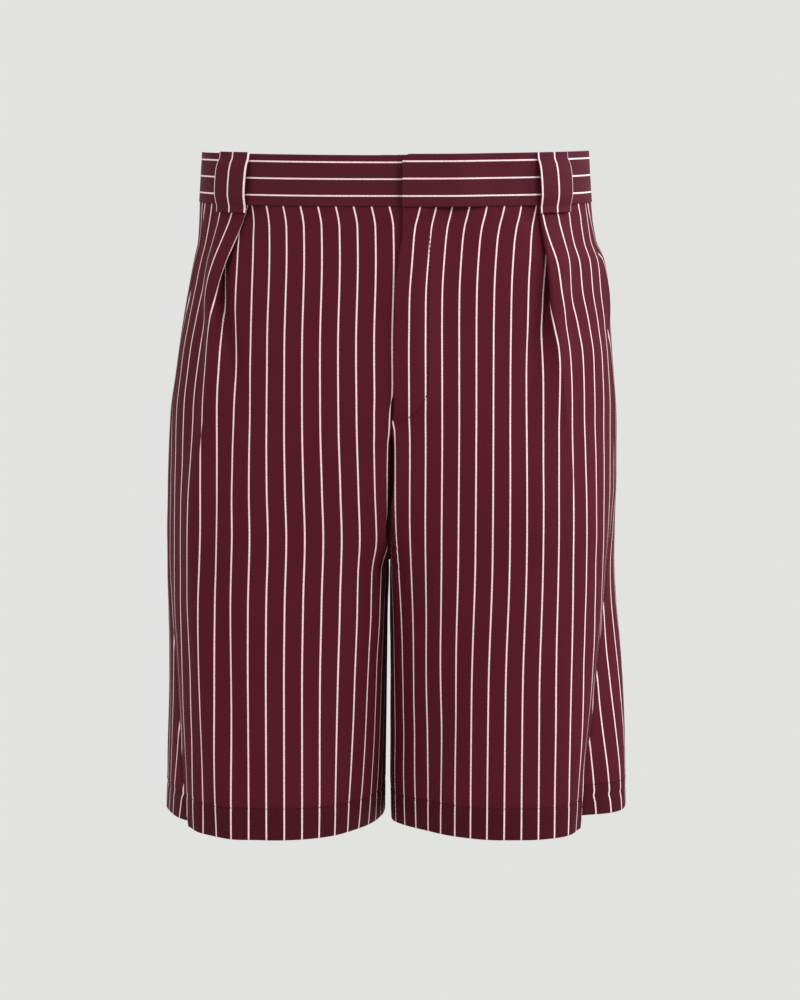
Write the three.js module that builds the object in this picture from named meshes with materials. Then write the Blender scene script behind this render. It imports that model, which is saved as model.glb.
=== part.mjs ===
// Pleated bermuda shorts, filled out as worn, with no wearer.
// Millimetres: +X is the wearer's left, -Y the front, +Z up.
// The origin is the middle of the waist ring, halfway up the waistband.
import * as THREE from "three";

// Driving dimensions
const bandHeight = 39;
const bandOuter = 0.9; // how far the band stands proud of the panels
const bandInner = -1.5;
const clothWall = 1.2;
const hemWall = 2.2; // the cloth and its turned-up hem
const hemDepth = 23;
const seamGap = 0.3;
const hemHeight = -503;
const crotchHeight = -312;
const waistTilt = 0.1163; // the waist dips at the front and rises at the back
const waistSag = 0.00024;
const waistTiltEnd = -220;
const hemTilt = 0.09; // the hem rises a little towards the back
const hemSag = 0.0004;
const hemTiltStart = -380;
const lapHeight = 1.9; // the left front over the right one, at the fly
const bandLapHeight = 2.9;
const loopWidth = 28;
const loopWall = 1.8;
const thighCorner = 22; // how softly the two thighs are pressed together
const pleatSettle = 18; // over which a folded edge fades into the side
const pleatSink = 16; // over which a plain front sinks into the hidden fold

const bandBottom = -bandHeight / 2;
const bandTop = bandHeight / 2;
const panelTop = bandBottom - seamGap;

// Horizontal sections. right and left are the half widths on the wearer's right and left, front and
// back the reach each way, outer, inner and seat the roundness of each corner (2 is an ellipse, more
// is squarer), parting how far each side has split off as a leg of its own, parted how far its edges
// have gone round inside the thigh, and seam where the side seam lies.
const sections = rowsOf(
  [
    "height", "right", "left", "front", "back", "outer", "innerRight", "innerLeft", "seat",
    "partingRight", "partingLeft", "parted", "centre", "middle", "seamRight", "seamLeft",
  ],
  [
    [20.5, 152.3, 151.3, 104.5, 101.5, 3.0, 3.0, 3.0, 2.3, 0, 0, 0, 0, 0, -48, -48],
    [-20.5, 154.6, 153.8, 107, 104, 3.0, 3.0, 3.0, 2.3, 0, 0, 0, 0, 0, -48, -48],
    [-50, 156.2, 158, 109, 107, 3.0, 3.0, 3.0, 2.3, 0, 0, 0, -0.5, 0, -47, -47],
    [-65, 159.2, 164, 110.5, 109, 3.0, 3.0, 3.0, 2.3, 0, 0, 0, -1, 0, -46.5, -46.5],
    [-80, 162, 165.4, 112, 111, 3.0, 3.0, 3.0, 2.3, 0, 0, 0, -1.5, 0, -46, -46],
    [-120, 168.8, 169.5, 115, 115, 2.9, 3.2, 3.2, 2.3, 0, 0, 0, -2.8, 0, -44, -44],
    [-155, 174, 172, 118, 119, 2.8, 3.6, 3.6, 2.3, 0, 0, 0, -3.3, 0, -42, -42],
    [-190, 178.5, 174, 119, 121, 2.7, 4.2, 4.0, 2.3, 0, 0, 0, -3.3, 0, -40, -40],
    [-225, 179.5, 174, 118, 119, 2.6, 4.5, 3.6, 2.3, 0.22, 0.18, 0.22, -3.5, 0, -38, -38],
    [-256, 180.5, 173.8, 116, 116, 2.5, 4.4, 3.0, 2.3, 0.56, 0.43, 0.56, -4, 0, -38, -38],
    [-284, 181, 173.5, 113, 112, 2.45, 4.2, 2.6, 2.3, 0.82, 0.57, 0.82, -4.6, 0, -38, -38],
    [-312, 180.5, 173, 110, 108, 2.4, 4.3, 2.2, 2.2, 1, 0.62, 1, -5.2, 0, -38, -40],
    [-340, 180, 173.5, 108, 106, 2.4, 4.4, 2.0, 2.2, 1, 0.66, 1, -5.5, 1, -38, -44],
    [-370, 179.2, 175, 105, 104, 2.4, 4.0, 1.9, 2.2, 1, 0.7, 1, -5.7, 3, -39, -50],
    [-415, 178.6, 177, 102, 102, 2.4, 3.3, 1.8, 2.2, 1, 0.75, 1, -6, 6, -42, -60],
    [-465, 179, 179, 100, 101, 2.35, 2.7, 1.75, 2.2, 1, 0.8, 1, -6.2, 9, -50, -69],
    [-502, 180, 181.5, 99, 101, 2.3, 2.3, 1.75, 2.2, 1, 0.84, 1, -6.5, 11, -60, -74],
  ],
);

// Where the front edges meet, from the wearer's right to left, the space between the legs, the right
// front's hidden extension at the fly, the left front's lap, and where the centre back seam lies
const centreLine = rowsOf(
  ["height", "across", "legGap", "underlap", "lap", "behind"],
  [
    [20.5, 4.9, 0, 9, 1, 0],
    [-40, 4.6, 0, 9, 1, 0],
    [-60, 1.5, 0, 9, 1, 0],
    [-90, -2.6, 0, 8, 1, 0],
    [-155, -3.2, 0, 7, 1, 0],
    [-186, -3.3, 0.3, 0, 1, -2],
    [-201, -3.3, 0.25, 0, 0, -3],
    [-225, -3.5, 0, 0, 0, -3.5],
    [-256, -4, 0, 0, 0, -4],
    [-312, -5.2, 0, 0, 0, -5.2],
    [-340, -5.5, 0.8, 0, 0, -5.5],
    [-415, -6, 1.2, 0, 0, -6],
    [-509, -6.5, 2, 0, 0, -6.5],
  ],
);

// Each pleat: where its folded edge lies, how far it overlaps (less than 0 once it has opened), how
// high the edge stands, the radii of the hidden fold and of the folded edge, and how deep the hidden
// fold has sunk
const pleatColumns = ["height", "edge", "overlap", "rise", "hollow", "roll", "depth"];
const rightPleat = rowsOf(pleatColumns, [
  [-20.5, 113.4, 18.9, 3.4, 0.35, 1.5, 0],
  [-52.8, 122.6, 11.1, 4.6, 0.6, 1.7, 1],
  [-67, 127.2, 8, 5.8, 0.9, 2, 2.5],
  [-87, 131.4, 3.6, 6.8, 1.3, 2.4, 4.5],
  [-100, 132.4, 1, 7, 1.8, 3, 5.2],
  [-118, 131, -1, 6.6, 2.6, 3.4, 4.6],
  [-143, 130.6, -4, 5.4, 4.5, 5, 3],
  [-175, 132.4, -10, 3.8, 8, 8, 1.4],
  [-218, 134.5, -18, 2, 12, 12, 0.4],
  [-256, 136.5, -22, 0.8, 13, 13, 0],
  [-310, 138, -25, 0, 14, 14, 0],
]);
const leftPleat = rowsOf(pleatColumns, [
  [-20.5, 108.8, 19, 3.4, 0.35, 1.5, 0],
  [-52.8, 112.8, 10.9, 4.6, 0.6, 1.7, 1],
  [-67, 114.8, 8, 5.4, 0.8, 1.9, 2],
  [-95, 117.4, 4, 6.4, 1.3, 2.4, 4],
  [-120, 119.5, -1.2, 6.2, 2.4, 3.2, 4.2],
  [-140, 121, -6, 5.4, 4, 4.5, 3],
  [-177, 124, -14, 3.8, 8, 8, 1.2],
  [-218, 127, -20, 2, 11, 11, 0.3],
  [-256, 130, -22, 0.8, 12, 12, 0],
  [-310, 133, -25, 0, 12, 12, 0],
]);

// Soft folds and swells, each from one place to another: how far ahead of the side seam (less than 0
// is behind it) and at what height it starts and ends, how far it stands out, and its half width
const foldColumns = ["upperAhead", "upper", "lowerAhead", "lower", "rise", "halfWidth"];
const rightFolds = rowsOf(foldColumns, [
  [6, -300, 2, -620, -4, 13],
  [58, -60, 52, -620, 3, 12],
  [80, -90, 72, -560, -2, 9],
  [-45, -340, -60, -620, 3, 20],
  [-110, -230, -140, -520, -4, 22],
  [150, -260, 160, -560, -2, 16],
]);
const leftFolds = rowsOf(foldColumns, [
  [3, -250, -2, -760, -12, 17],
  [-32, -300, -36, -760, 4, 16],
  [56, -90, 50, -620, 1.6, 12],
  [212, -16, 212, -130, -1.5, 5],
  [-5, -60, -5, -120, 3, 14],
  [-50, -340, -58, -560, 3, 20],
  [-120, -220, -150, -520, -4, 24],
  [140, -330, 146, -560, -2.5, 15],
]);

// backLift is how much higher than the front's hem the back's hangs
const rightSide = {
  name: "right", suffix: "Right", sign: -1, pleat: rightPleat, folds: rightFolds, backLift: 4,
};
const leftSide = {
  name: "left", suffix: "Left", sign: 1, pleat: leftPleat, folds: leftFolds, backLift: 9.5,
};
const sides = [rightSide, leftSide];

// Heights of the rows of points, closer where a pleat opens and at the crotch
const panelHeights = [
  panelTop, -27, -36, -46, -57, -68, -80, -92, -106, -124, -145, -167, -186, -201, -216, -234, -252, -268,
  -281, -292, -300, -306, -309.5, crotchHeight, -326, -350, -382, -416, -450, hemHeight + hemDepth,
  hemHeight + hemDepth - 1.5, hemHeight,
];
const backRun = [9, 4];
const thighStart = 34; // from the centre line, past which the inside of the thigh begins
const bandColumns = 26;

function rowsOf(columns, rows) {
  return rows.map((row) => Object.fromEntries(columns.map((name, i) => [name, row[i]])));
}

// The value of one column at a height, on a smooth curve through the rows that never overshoots
function valueAt(rows, name, height) {
  if (height >= rows[0].height) return rows[0][name];
  const below = rows.findIndex((row) => row.height <= height);
  if (below < 0) return rows[rows.length - 1][name];
  const rise = (k) => (rows[k + 1][name] - rows[k][name]) / (rows[k + 1].height - rows[k].height);
  const slopeAt = (k) => {
    if (k === 0 || k === rows.length - 1) return rise(Math.min(k, rows.length - 2));
    const [before, after] = [rise(k - 1), rise(k)];
    return before * after <= 0 ? 0 : (2 * before * after) / (before + after);
  };
  const k = below - 1;
  const span = rows[below].height - rows[k].height;
  const t = (height - rows[k].height) / span;
  const start = (1 + 2 * t) * (1 - t) ** 2 * rows[k][name] + t * (1 - t) ** 2 * span * slopeAt(k);
  const end = t * t * (3 - 2 * t) * rows[below][name] + t * t * (t - 1) * span * slopeAt(below);
  return start + end;
}

const smooth = THREE.MathUtils.smoothstep;
const mix = THREE.MathUtils.lerp;
const clamp = THREE.MathUtils.clamp;
const count = (n) => Array.from({ length: n }, (_, i) => i);
const sum = (numbers) => numbers.reduce((total, n) => total + n, 0);

// A height on the tilted waist or hem, from the height it has at the sides
function tiltedHeight(height, y) {
  const waist = smooth(height, waistTiltEnd, panelTop) * (waistTilt * y - waistSag * y * y);
  const hem = (1 - smooth(height, hemHeight, hemTiltStart)) * (hemTilt * y - hemSag * y * y);
  return height + waist + hem;
}

// The plain outline of one side at a height, from the centre front or inseam round to the back, in
// the side's own outward x, with the distance along it. Its corners are parts of rounded squares.
const outlineSteps = 700;
const outlines = new Map();
function outlineAt(side, height, extension = 0) {
  const key = `${side.name} ${height} ${extension}`;
  if (!outlines.has(key)) outlines.set(key, makeOutline(side, height, extension));
  return outlines.get(key);
}

function makeOutline(side, height, extension) {
  const at = (name) => valueAt(sections, name, height);
  const line = (name) => valueAt(centreLine, name, height);
  const centre = at("centre");
  const gap = seamGap / 2 + line("legGap");
  const edge = side.sign * (line("across") - centre) + gap;
  const behind = side.sign * (line("behind") - centre) + gap;
  const [parting, parted] = [at(`parting${side.suffix}`), at("parted")];
  const half = (at(side.name) - side.sign * centre - edge) / (1 + parting);
  const middleX = edge + parting * half;
  const middleY = at("middle");
  const [inner, outer, seat] = [at(`inner${side.suffix}`), at("outer"), at("seat")];
  const shareAt = (x) => Math.min(1, (middleX - x) / half + parted - parting);
  const angleAt = (share, power, way) =>
    Math.atan2(way * (1 - Math.abs(share) ** power) ** (1 / power), -share);
  const start = shareAt(edge - extension);
  const startAngle = start >= 1 ? -Math.PI : angleAt(start, inner, -1);
  const endAngle = angleAt(shareAt(behind), seat, 1);
  const corner = thighCorner * Math.max(0, parted - parting);
  const points = count(outlineSteps + 1).map((i) => {
    const angle = mix(startAngle, endAngle, i / outlineSteps);
    const ahead = angle < 0;
    const power = angle < -Math.PI / 2 ? inner : ahead ? outer : seat;
    const depth = ahead ? at("front") + middleY : at("back") - middleY;
    const radius = (Math.abs(Math.cos(angle)) ** power + Math.abs(Math.sin(angle)) ** power) ** (-1 / power);
    const inward = middleX + half * Math.cos(angle) * radius - edge;
    const pressed = corner > 0 ? (inward + Math.hypot(inward, corner)) / 2 : inward;
    return new THREE.Vector2(edge + pressed, middleY + depth * Math.sin(angle) * radius);
  });
  const lengths = [0];
  for (let i = 1; i < points.length; i++) {
    lengths.push(lengths[i - 1] + points[i].distanceTo(points[i - 1]));
  }
  const total = lengths[lengths.length - 1];
  const outermost = points.reduce((best, p, i) => (p.x > points[best].x ? i : best), 0);
  const between = (k, share) => mix(lengths[k - 1], lengths[k], share);
  const crossing = (k, name, value) =>
    between(k, (value - points[k - 1][name]) / (points[k][name] - points[k - 1][name]));
  const acrossAt = (x) => crossing(Math.max(1, points.findIndex((p) => p.x >= x)), "x", x);
  const behindAt = (x) => crossing(points.findIndex((p, i) => i > outermost && p.x <= x), "x", x);
  const seam = at(`seam${side.suffix}`);
  const first = count(outermost + 1).reverse().find((i) => points[i - 1].y <= seam);
  const seamAt = crossing(first, "y", seam);
  return { points, lengths, total, centre, acrossAt, behindAt, seamAt };
}

// A place on the outline, with the direction that faces out of the cloth
function onOutline(outline, along) {
  const { points, lengths } = outline;
  let low = 0;
  let high = lengths.length - 1;
  while (high - low > 1) {
    const mid = (low + high) >> 1;
    if (lengths[mid] <= along) low = mid;
    else high = mid;
  }
  const t = (along - lengths[low]) / Math.max(lengths[high] - lengths[low], 1e-9);
  const place = points[low].clone().lerp(points[high], t);
  const before = points[Math.max(low - 2, 0)];
  const after = points[Math.min(high + 2, points.length - 1)];
  const tangent = after.clone().sub(before).normalize();
  return { place, outward: new THREE.Vector2(tangent.y, -tangent.x) };
}

// How far the soft folds move the cloth out at a place, and how far the band presses the pleat in
function reliefAt(side, height, ahead) {
  return side.folds.reduce((total, fold) => {
    const [run, fall] = [fold.lowerAhead - fold.upperAhead, fold.lower - fold.upper];
    const length = Math.hypot(run, fall);
    const [fromAhead, fromUpper] = [ahead - fold.upperAhead, height - fold.upper];
    const share = clamp((fromAhead * run + fromUpper * fall) / length ** 2, 0, 1);
    const beside = (fromAhead * fall - fromUpper * run) / length / fold.halfWidth;
    return total + fold.rise * Math.sin(Math.PI * share) * Math.exp(-beside * beside);
  }, 0);
}

const pressStart = -28;
const pressEnd = -60;
function pressAt(side, height, fromEdge) {
  const depth = 2.8 * smooth(height, pressEnd, pressStart);
  return depth * smooth(fromEdge, -20, -2) * (1 - smooth(fromEdge, 24, 44));
}

// The lift of the left front over the right one beside the fly
function lapAt(side, height, along) {
  if (side.sign < 0) return 0;
  return lapHeight * valueAt(centreLine, "lap", height) * (1 - smooth(along, 16, 40));
}

// The point of a side at a height, a distance along its outline and off its surface
function pointOn(side, outline, height, along, off) {
  const { place, outward } = onOutline(outline, along);
  const x = outline.centre + side.sign * (place.x + outward.x * off);
  return new THREE.Vector3(x, place.y + outward.y * off, tiltedHeight(height, place.y));
}

// One front panel: a plain run, the pleat (hidden fold, underlay and folded edge), and the side.
// A folded pleat has most of its points in its two turns, and an opened one has them evenly spread.
const plainRun = [4, 5, 3];
const pleatRun = [3, 3, 4];
const sideRun = [3, 5];
const pleatColumnCount = sum(pleatRun);
const frontColumns = sum([...plainRun, ...pleatRun, ...sideRun]);

// A pleat across its fold: places along the outline and heights off it, from turn to folded edge
function pleatAt(side, height, edge) {
  const pleat = (name) => valueAt(side.pleat, name, height);
  const [overlap, hollow, roll, depth] = ["overlap", "hollow", "roll", "depth"].map(pleat);
  const rise = pleat("rise") + depth;
  const turnAt = edge + overlap - hollow;
  const rollAt = edge + roll;
  const acrossX = rollAt - turnAt;
  const acrossY = rise - roll - hollow;
  const distance = Math.hypot(acrossX, acrossY);
  const angle = Math.atan2(acrossY, acrossX) + Math.asin(Math.min(1, (hollow + roll) / distance));
  const turnEnd = [turnAt + hollow * Math.sin(angle), hollow - hollow * Math.cos(angle)];
  const rollStart = [rollAt - roll * Math.sin(angle), rise - roll + roll * Math.cos(angle)];
  const underlay = Math.hypot(rollStart[0] - turnEnd[0], rollStart[1] - turnEnd[1]);
  const parts = [hollow * angle, underlay, roll * angle];
  const total = sum(parts);
  const evenness = smooth(-overlap, 3, 12);
  const place = (k) => {
    let [part, left, folded] = [0, k, 0];
    while (part < 2 && left > pleatRun[part]) {
      folded += parts[part];
      left -= pleatRun[part++];
    }
    folded += (parts[part] * left) / pleatRun[part];
    const gone = mix(folded, (total * k) / pleatColumnCount, evenness);
    if (gone < parts[0]) {
      const turned = (gone / parts[0]) * angle;
      return [turnAt + hollow * Math.sin(turned), hollow - hollow * Math.cos(turned) - depth];
    }
    if (gone < parts[0] + underlay) {
      const share = (gone - parts[0]) / underlay;
      return [mix(turnEnd[0], rollStart[0], share), mix(turnEnd[1], rollStart[1], share) - depth];
    }
    const unturned = (1 - Math.min(1, (gone - parts[0] - underlay) / Math.max(parts[2], 1e-9))) * angle;
    return [rollAt - roll * Math.sin(unturned), rise - roll + roll * Math.cos(unturned) - depth];
  };
  return { overlap, rise: rise - depth, depth, turnAt, rollAt, place };
}

function frontPoint(side, height, column) {
  const underlap = side.sign < 0 ? valueAt(centreLine, "underlap", height) : 0;
  const outline = outlineAt(side, height, underlap);
  const edge = outline.acrossAt(valueAt(side.pleat, "edge", height));
  const { overlap, rise, depth, turnAt, rollAt, place } = pleatAt(side, height, edge);
  const start = height <= crotchHeight ? seamGap / 2 : 0;
  const lead = turnAt - pleatSink - 2;
  const settle = Math.max(overlap, 0) + 3;
  const settled = (along) => [along, rise * (1 - smooth(along - edge, settle, settle + pleatSettle))];
  const sunk = (along) => [along, -depth * smooth(along, turnAt - pleatSink, turnAt)];
  const nearSide = rollAt + 14;
  const runs = [
    [plainRun[0], (t) => [mix(start, outline.acrossAt(thighStart), t), 0]],
    [plainRun[1], (t) => [mix(outline.acrossAt(thighStart), lead, t), 0]],
    [plainRun[2], (t) => sunk(mix(lead, turnAt, t))],
    [pleatColumnCount, (t) => place(t * pleatColumnCount)],
    [sideRun[0], (t) => settled(mix(rollAt, nearSide, t))],
    [sideRun[1], (t) => settled(mix(nearSide, outline.seamAt - seamGap / 2, t))],
  ];
  let [run, left] = [0, column];
  while (run < runs.length - 1 && left > runs[run][0]) left -= runs[run++][0];
  const [columns, runAt] = runs[run];
  const [along, rest] = runAt(left / columns);
  const relief = reliefAt(side, height, outline.seamAt - along);
  const off = rest + relief - pressAt(side, height, along - edge) + lapAt(side, height, along);
  return pointOn(side, outline, height, along, off);
}

function backPoint(side, height, column) {
  const raised = height + side.backLift * (1 - smooth(height, hemHeight, hemTiltStart));
  const outline = outlineAt(side, raised);
  const turn = outline.behindAt(thighStart);
  const along =
    column < backRun[0]
      ? mix(outline.seamAt + seamGap / 2, turn, column / backRun[0])
      : mix(turn, outline.total - seamGap / 2, (column - backRun[0]) / backRun[1]);
  return pointOn(side, outline, raised, along, reliefAt(side, raised, outline.seamAt - along));
}

// The wall's inner point under an outer one, square to the cloth
function innerPoint(side, surface, height, column, lastColumn, wall) {
  const step = 0.02;
  const before = surface(side, height, Math.max(column - step, 0));
  const after = surface(side, height, Math.min(column + step, lastColumn));
  const rise = height > crotchHeight && height < panelTop - 1 ? 0.4 : -0.4;
  const here = surface(side, height, column);
  const above = surface(side, height + rise, column);
  const normal = after.sub(before).cross(above.sub(here)).normalize();
  if (rise < 0) normal.negate();
  return here.addScaledVector(normal, -side.sign * wall);
}

// A closed wall between two grids of points, outer and inner, with faces pointing out
function wallMesh(name, material, outer, inner) {
  const [rows, columns] = [outer.length, outer[0].length];
  const points = [...outer.flat(), ...inner.flat()];
  const at = (layer, row, column) => layer * rows * columns + row * columns + column;
  const faces = [];
  const quad = (a, b, c, d) => faces.push([a, b, c], [a, c, d]);
  for (let r = 0; r < rows - 1; r++) {
    for (let c = 0; c < columns - 1; c++) {
      quad(at(0, r, c), at(0, r + 1, c), at(0, r + 1, c + 1), at(0, r, c + 1));
      quad(at(1, r, c), at(1, r, c + 1), at(1, r + 1, c + 1), at(1, r + 1, c));
    }
  }
  for (let r = 0; r < rows - 1; r++) {
    quad(at(0, r, 0), at(1, r, 0), at(1, r + 1, 0), at(0, r + 1, 0));
    quad(at(0, r + 1, columns - 1), at(1, r + 1, columns - 1), at(1, r, columns - 1), at(0, r, columns - 1));
  }
  for (let c = 0; c < columns - 1; c++) {
    quad(at(0, 0, c + 1), at(1, 0, c + 1), at(1, 0, c), at(0, 0, c));
    quad(at(0, rows - 1, c), at(1, rows - 1, c), at(1, rows - 1, c + 1), at(0, rows - 1, c + 1));
  }
  const sixfold = ([a, b, c]) => points[a].dot(points[b].clone().cross(points[c]));
  const volume = sum(faces.map(sixfold));
  const turned = volume < 0 ? faces.map(([a, b, c]) => [a, c, b]) : faces;
  const geometry = new THREE.BufferGeometry().setFromPoints(points);
  geometry.setIndex(turned.flat());
  geometry.computeVertexNormals();
  const mesh = new THREE.Mesh(geometry, material);
  mesh.name = name;
  return mesh;
}

const cloth = (name, color) =>
  new THREE.MeshStandardMaterial({ name, color, roughness: 0.75, metalness: 0, side: THREE.DoubleSide });
const mainCloth = cloth("pinstripe cloth", "#551a29");
const bandCloth = cloth("pinstripe band cloth", "#511d2b");
const loopCloth = cloth("pinstripe loop cloth", "#571e2d");
const bagCloth = cloth("plain pocket cloth", "#4a1824");

function panel(side, name, surface, lastColumn) {
  const wallAt = (row) => (row >= panelHeights.length - 2 ? hemWall : clothWall);
  const outer = panelHeights.map((height) => count(lastColumn + 1).map((c) => surface(side, height, c)));
  const inner = panelHeights.map((height, row) =>
    count(lastColumn + 1).map((c) => innerPoint(side, surface, height, c, lastColumn, wallAt(row))),
  );
  return wallMesh(`${name}_${side.name}`, mainCloth, outer, inner);
}

// Strips that follow the waist: the same run of places at each height, with an outer and inner offset
function strip(name, material, side, heights, places, outerOff, innerOff, extension = 0) {
  const layer = (off) =>
    heights.map((height) => {
      const outline = outlineAt(side, height, extension);
      return places(outline).map((along) => pointOn(side, outline, height, along, off(along)));
    });
  return wallMesh(name, material, layer(outerOff), layer(innerOff));
}

function waistband(side) {
  const lapped = side.sign > 0;
  const underlap = lapped ? 0 : 35;
  const lift = (along) => (lapped ? bandLapHeight * (1 - smooth(along, 38, 72)) : 0);
  return strip(
    `waistband_${side.name}`, bandCloth, side, [bandTop, 0, bandBottom],
    (outline) => count(bandColumns + 1).map((i) => (outline.total * i) / bandColumns),
    (along) => bandOuter + lift(along),
    (along) => bandInner + lift(along),
    underlap,
  );
}

// The strip behind the fly, as long as the opening, narrowing at its foot
function flyShield() {
  const heights = [panelTop, -60, -100, -145, -182, -197, -204];
  const widths = [34, 34, 34, 33, 28, 20, 12];
  const behindRight = 10;
  const side = leftSide;
  const layer = (off) =>
    heights.map((height, row) => {
      const outline = outlineAt(side, height);
      return count(7).map((i) => {
        const along = -behindRight + ((widths[row] + behindRight) * i) / 6;
        return pointOn(side, outline, height, along, off);
      });
    });
  return wallMesh("fly_shield", bandCloth, layer(-1.7), layer(-2.9));
}

// A belt loop: a doubled strip, tacked at the band's top and just under the band, bowed off it between
const loopProfile = rowsOf(
  ["height", "off"],
  [
    [20.8, 1.3], [16.5, 1.35], [12, 3.4], [5, 4.7], [-4, 4.9], [-11.5, 4.4], [-18, 2.6], [-21.5, 1.35],
    [-25.5, 1.35],
  ],
);
function beltLoop(name, side, middleAt) {
  const layer = (extra) =>
    loopProfile.map(({ height, off }) => {
      const outline = outlineAt(side, height);
      const middle = middleAt(outline, height);
      const along = (i) => middle + loopWidth * (i / 4 - 0.5);
      return count(5).map((i) => pointOn(side, outline, height, along(i), off + extra));
    });
  return wallMesh(name, loopCloth, layer(loopWall), layer(0));
}

// A loop in front, a distance out from the centre, leaning a little outward as it goes down
function frontLoop(side, across, lean) {
  const middleAt = (outline, height) => outline.acrossAt(across) + (lean * (bandTop - height)) / bandHeight;
  return beltLoop(`belt_loop_front_${side.name}`, side, middleAt);
}

// A loop behind, at a share of the way round from the side seam to the centre back
function rearLoop(side, share) {
  const middleAt = (outline) => mix(outline.seamAt, outline.total, share);
  return beltLoop(`belt_loop_side_back_${side.name}`, side, middleAt);
}

// The loop on the centre back seam spans both sides
function centreLoop() {
  const layer = (extra) =>
    loopProfile.map(({ height, off }) => {
      const outline = outlineAt(leftSide, height);
      const y = onOutline(outline, outline.total).place.y + off + extra;
      return count(5).map((i) => {
        const x = loopWidth * (i / 4 - 0.5);
        return new THREE.Vector3(x, y, tiltedHeight(height, y));
      });
    });
  return wallMesh("belt_loop_centre_back", loopCloth, layer(loopWall), layer(0));
}

// A pocket bag: two layers pressed flat, hanging from the band and the side seam inside the front
function pocketBag(side) {
  const heights = [panelTop, -28, -36, -46, -57, -80, -110, -145, -180, -215, -240, -256];
  const widths = [100, 102, 104, 106, 108, 112, 118, 122, 124, 116, 98, 66];
  const layer = (off) =>
    heights.map((height, row) => {
      const outline = outlineAt(side, height);
      const edge = outline.acrossAt(valueAt(side.pleat, "edge", height));
      return count(13).map((i) => {
        const along = outline.seamAt - 2 - (widths[row] * i) / 12;
        const relief = reliefAt(side, height, outline.seamAt - along) - pressAt(side, height, along - edge);
        const beside = smooth(along, edge - 50, edge - 20) * (1 - smooth(along, edge + 8, edge + 40));
        const sunk = 1.15 * valueAt(side.pleat, "depth", height) * beside;
        return pointOn(side, outline, height, along, off + relief - sunk);
      });
    });
  return wallMesh(`pocket_bag_${side.name}`, bagCloth, layer(-2.3), layer(-3.9));
}

const shorts = new THREE.Group();
for (const side of sides) {
  shorts.add(panel(side, "front", frontPoint, frontColumns), panel(side, "back", backPoint, sum(backRun)));
  shorts.add(waistband(side), pocketBag(side));
  shorts.add(rearLoop(side, 0.42));
}
shorts.add(frontLoop(rightSide, 122.8, 3), frontLoop(leftSide, 119, 2.5), centreLoop(), flyShield());

export default shorts;
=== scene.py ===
"""Pleated bermuda shorts, filled out as worn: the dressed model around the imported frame.

The tables and surfaces are in millimetres and the meshes in metres: +X is the wearer's left, -Y the
front and +Z up. Each piece of cloth is one sheet on a grid of points. Its UV map holds its own
measure in metres, across and along the threads, so stripes and weave follow it round every fold.
"""
import logging
import math
from dataclasses import dataclass
from enum import Enum
from functools import lru_cache

import bpy
import numpy as np
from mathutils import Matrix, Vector, noise


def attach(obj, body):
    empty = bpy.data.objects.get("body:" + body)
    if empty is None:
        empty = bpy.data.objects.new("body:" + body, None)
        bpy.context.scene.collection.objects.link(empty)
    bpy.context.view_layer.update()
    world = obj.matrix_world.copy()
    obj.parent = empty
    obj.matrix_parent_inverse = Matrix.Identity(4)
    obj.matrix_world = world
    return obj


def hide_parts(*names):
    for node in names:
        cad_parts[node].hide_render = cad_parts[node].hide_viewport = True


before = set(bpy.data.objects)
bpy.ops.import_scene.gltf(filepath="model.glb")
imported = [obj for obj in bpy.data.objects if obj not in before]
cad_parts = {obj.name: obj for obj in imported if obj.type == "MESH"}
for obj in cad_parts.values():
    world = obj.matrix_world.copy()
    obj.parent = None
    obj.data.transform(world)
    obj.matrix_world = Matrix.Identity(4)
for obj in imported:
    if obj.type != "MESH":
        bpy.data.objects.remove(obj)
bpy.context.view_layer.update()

logging.basicConfig(level=logging.INFO, format="%(message)s")
log = logging.getLogger("shorts")

MM = 0.001

# Driving sizes, in mm
BAND_HEIGHT = 39.0
BAND_TOP = BAND_HEIGHT / 2
BAND_BOTTOM = -BAND_HEIGHT / 2
BAND_OUTER = 0.9
BAND_WALL = 2.3
BAND_UNDERLAP = 35.0
BAND_LAP = 4.2
CLOTH_WALL = 0.8
SEAM_GAP = 0.3
PANEL_TOP = BAND_BOTTOM - SEAM_GAP
HEM_HEIGHT = -503.0
HEM_DEPTH = 23.0
HEM_ROLL = 1.0
WAIST_TILT = 0.1163
WAIST_TILT_END = -220.0
WAIST_SAG = 0.00024
HEM_TILT = 0.09
HEM_SAG = 0.0004
HEM_TILT_START = -380.0
LAP_HEIGHT = 3.6
LAP_ROLL = 1.1
LAP_REACH = (16.0, 40.0)
LOOP_WIDTH = 28.0
LOOP_WALL = 1.8
HEM_LINE = BAND_BOTTOM - HEM_HEIGHT - HEM_DEPTH
THIGH_START = 34.0
THIGH_CORNER = 22.0
PLEAT_SETTLE = 18.0
PLEAT_SINK = 16.0
STRIPE_PITCH = 13.6
STRIPE_WIDTH = 1.1
GRAIN_STRIPE = 7

# How finely an outline is laid out, how far inside its ends a sheet stops, and how deep and wide
# the cloth dips at a seam
OUTLINE_POINTS = 900
SHEET_INSET = 0.05
SEAM_DIP = 1.1
SEAM_DIP_WIDTH = 1.3

# How far the easing of the stripes reaches from the centre on each side, how far the fly's edge
# holds it back, and how near the centre the cloth's steps are counted along the plain outline, so
# that the crotch fold shifts no stripe
EASE_REACH_RIGHT = 8.0
EASE_REACH_LEFT = 20.0
EDGE_HOLD = 7.0
CROTCH_FOLD = 5.0

# The band's press on the folded pleat: its depth, the heights it fades over, and where it fades
# before and after the folded edge
PRESS_DEPTH = 2.8
PRESS_HEIGHTS = (-60, -28)
PRESS_BEFORE = (-20, -2)
PRESS_AFTER = (24, 44)

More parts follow.
